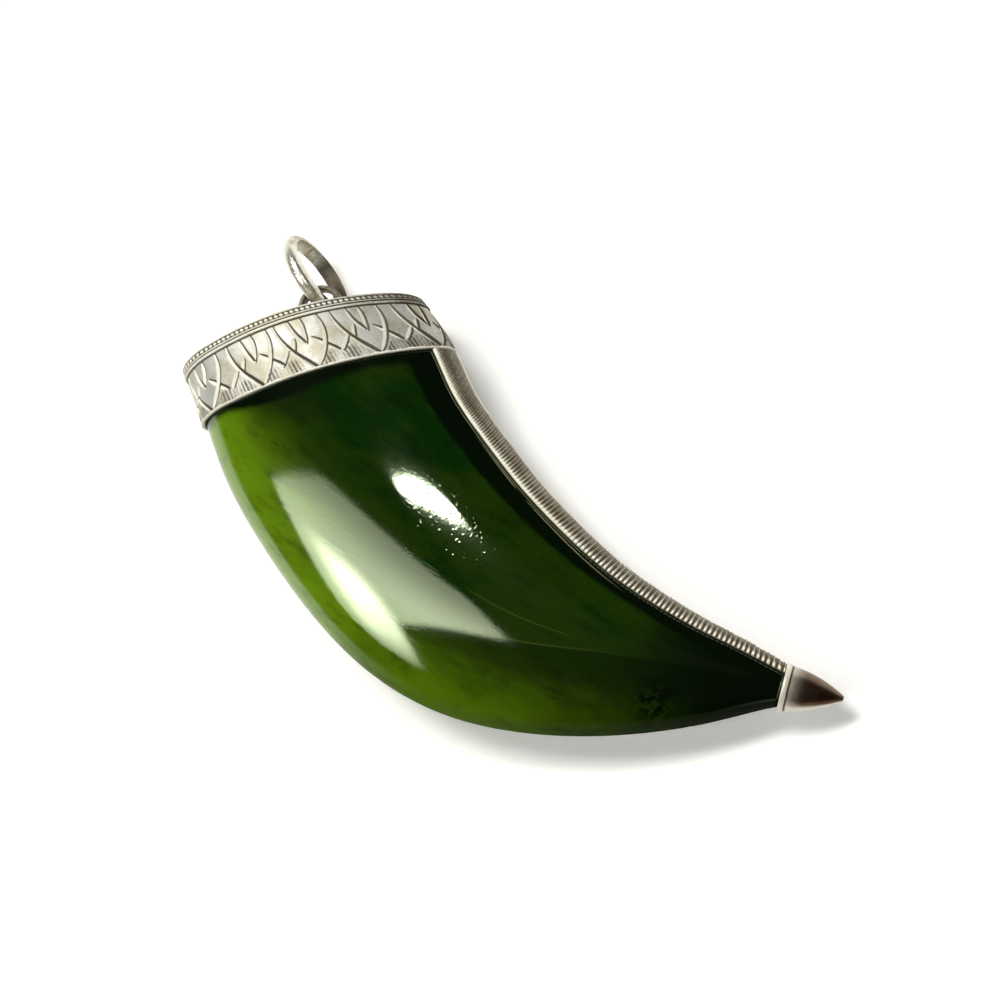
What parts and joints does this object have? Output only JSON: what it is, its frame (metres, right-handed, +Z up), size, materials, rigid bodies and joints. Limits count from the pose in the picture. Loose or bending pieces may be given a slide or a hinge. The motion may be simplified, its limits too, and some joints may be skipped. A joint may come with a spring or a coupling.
{
  "type": "jade claw pendant",
  "caption": "Curved jade claw with an engraved silver collar and loose hanging ring, a milled silver edge strip and a silver tip, lying on its domed back.",
  "frame": {"origin": "on the surface that the pendant lies on, below the middle of its bounding box", "axes": "+X from the collar to the point of the claw, +Y towards the hollow edge, +Z up from the surface"},
  "size_m": [0.057, 0.0268, 0.0111],
  "materials": {
    "jade": "deep green nephrite with a glassy polish",
    "engraved_silver": "bright-cut silver, warm and darkened in the cuts",
    "milled_silver": "milled silver with brown tarnish in the cuts",
    "polished_silver": "polished silver"
  },
  "bodies": {
    "pendant": {"claw_stone": "jade", "collar": "engraved_silver", "edge_strip": "milled_silver", "tip_ferrule": "polished_silver"},
    "ring": {"jump_ring": "polished_silver"}
  },
  "joints": [
    {"name": "ring_swing", "type": "hinge", "parent": "pendant", "child": "ring", "pos_m": [-0.02368, 0.00878, 0.00559], "axis": [0.4331, 0.8831, 0.1804], "range_deg": [-6, 75]}
  ]
}
